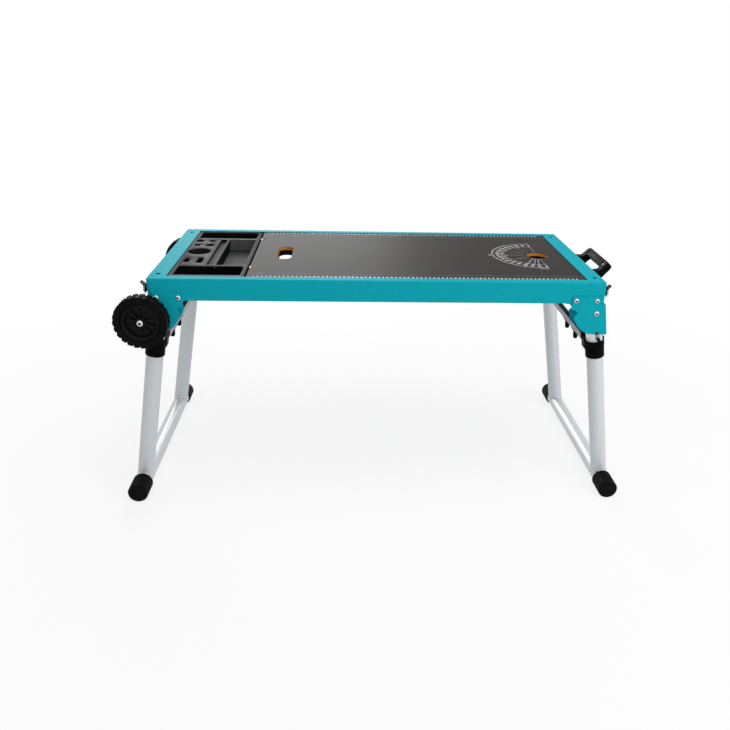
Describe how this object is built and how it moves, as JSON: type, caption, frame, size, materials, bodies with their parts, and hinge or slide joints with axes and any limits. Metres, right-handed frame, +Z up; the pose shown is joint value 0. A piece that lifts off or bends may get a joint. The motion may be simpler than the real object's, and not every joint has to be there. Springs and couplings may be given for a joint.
{
  "type": "folding work table",
  "caption": "Low folding workbench with a steel deck frame, laminate board, tool tray, two splayed folding leg frames, carry handle and transport wheels.",
  "frame": {"origin": "on the floor under the centre of the deck", "axes": "+X along the deck towards the carry handle, +Y from the front to the back, +Z up out of the worktop"},
  "size_m": [1.2416, 0.598, 0.5631],
  "materials": {
    "teal_paint": "teal powder coat, slightly glossy",
    "grey_paint": "silver grey powder coat",
    "board": "dark grey laminate on fibreboard",
    "tray": "moulded, lightly textured",
    "liner": "moulded",
    "rubber": "moulded, matte",
    "black_plastic": "moulded, satin",
    "black_steel": "black coat",
    "zinc_steel": "bright zinc plate"
  },
  "bodies": {
    "deck": {"back_rail": "teal_paint", "board_screws": "zinc_steel", "bracket_nuts": "zinc_steel", "bracket_screws": "zinc_steel", "carry_handle": "black_plastic", "cross_member_left_end": "teal_paint", "cross_member_middle": "teal_paint", "cross_member_right": "teal_paint", "cross_member_right_end": "teal_paint", "cross_member_seam": "teal_paint", "front_rail": "teal_paint", "handle_screws": "zinc_steel", "hole_liner": "liner", "left_back_bracket": "teal_paint", "left_end_rail": "teal_paint", "left_front_bracket": "teal_paint", "left_latch_base": "black_steel", "pivot_bolts": "zinc_steel", "pivot_nuts": "zinc_steel", "right_back_bracket": "teal_paint", "right_end_rail": "teal_paint", "right_front_bracket": "teal_paint", "right_latch_base": "black_steel", "seam_clips": "zinc_steel", "slot_liner": "liner", "tool_tray": "tray", "wheel_axles": "zinc_steel", "worktop_board": "board"},
    "left_leg_frame": {"left_back_foot_cap": "rubber", "left_back_leg": "grey_paint", "left_foot_tube": "grey_paint", "left_front_foot_cap": "rubber", "left_front_leg": "grey_paint"},
    "right_leg_frame": {"right_back_foot_cap": "rubber", "right_back_leg": "grey_paint", "right_foot_tube": "grey_paint", "right_front_foot_cap": "rubber", "right_front_leg": "grey_paint"},
    "left_release": {"left_back_collar": "black_plastic", "left_crossbar": "grey_paint", "left_finger_pulls": "black_plastic", "left_front_collar": "black_plastic", "left_lock_pins": "zinc_steel", "left_pin_links": "zinc_steel"},
    "right_release": {"right_back_collar": "black_plastic", "right_crossbar": "grey_paint", "right_finger_pulls": "black_plastic", "right_front_collar": "black_plastic", "right_lock_pins": "zinc_steel", "right_pin_links": "zinc_steel"},
    "front_wheel": {"front_tyre": "rubber", "front_hub": "black_plastic"},
    "back_wheel": {"back_tyre": "rubber", "back_hub": "black_plastic"},
    "left_lever": {"left_latch_lever": "black_steel"},
    "right_lever": {"right_latch_lever": "black_steel"},
    "left_bail": {"left_latch_bail": "zinc_steel"},
    "right_bail": {"right_latch_bail": "zinc_steel"}
  },
  "joints": [
    {"name": "left_leg_fold", "type": "hinge", "parent": "deck", "child": "left_leg_frame", "pos_m": [-0.5134, 0, 0.4847], "axis": [0, -1, 0], "range_deg": [0, 100.2]},
    {"name": "right_leg_fold", "type": "hinge", "parent": "deck", "child": "right_leg_frame", "pos_m": [0.5134, 0, 0.4847], "axis": [0, 1, 0], "range_deg": [0, 100.2]},
    {"name": "left_release_slide", "type": "slide", "parent": "left_leg_frame", "child": "left_release", "axis": [0.1771, 0, 0.9842], "range_m": [0, 0.0075]},
    {"name": "right_release_slide", "type": "slide", "parent": "right_leg_frame", "child": "right_release", "axis": [-0.1771, 0, 0.9842], "range_m": [0, 0.0075]},
    {"name": "front_wheel_spin", "type": "hinge", "parent": "deck", "child": "front_wheel", "pos_m": [-0.543, -0.264, 0.467], "axis": [0, 1, 0], "continuous": true},
    {"name": "back_wheel_spin", "type": "hinge", "parent": "deck", "child": "back_wheel", "pos_m": [-0.543, 0.264, 0.467], "axis": [0, 1, 0], "continuous": true},
    {"name": "left_lever_swing", "type": "hinge", "parent": "deck", "child": "left_lever", "pos_m": [-0.539, -0.211, 0.527], "axis": [0, -1, 0], "range_deg": [0, 105]},
    {"name": "left_bail_swing", "type": "hinge", "parent": "left_lever", "child": "left_bail", "pos_m": [-0.539, -0.211, 0.536], "axis": [0, 1, 0], "range_deg": [0, 100]},
    {"name": "right_lever_swing", "type": "hinge", "parent": "deck", "child": "right_lever", "pos_m": [0.539, -0.211, 0.527], "axis": [0, 1, 0], "range_deg": [0, 105]},
    {"name": "right_bail_swing", "type": "hinge", "parent": "right_lever", "child": "right_bail", "pos_m": [0.539, -0.211, 0.536], "axis": [0, -1, 0], "range_deg": [0, 100]}
  ]
}
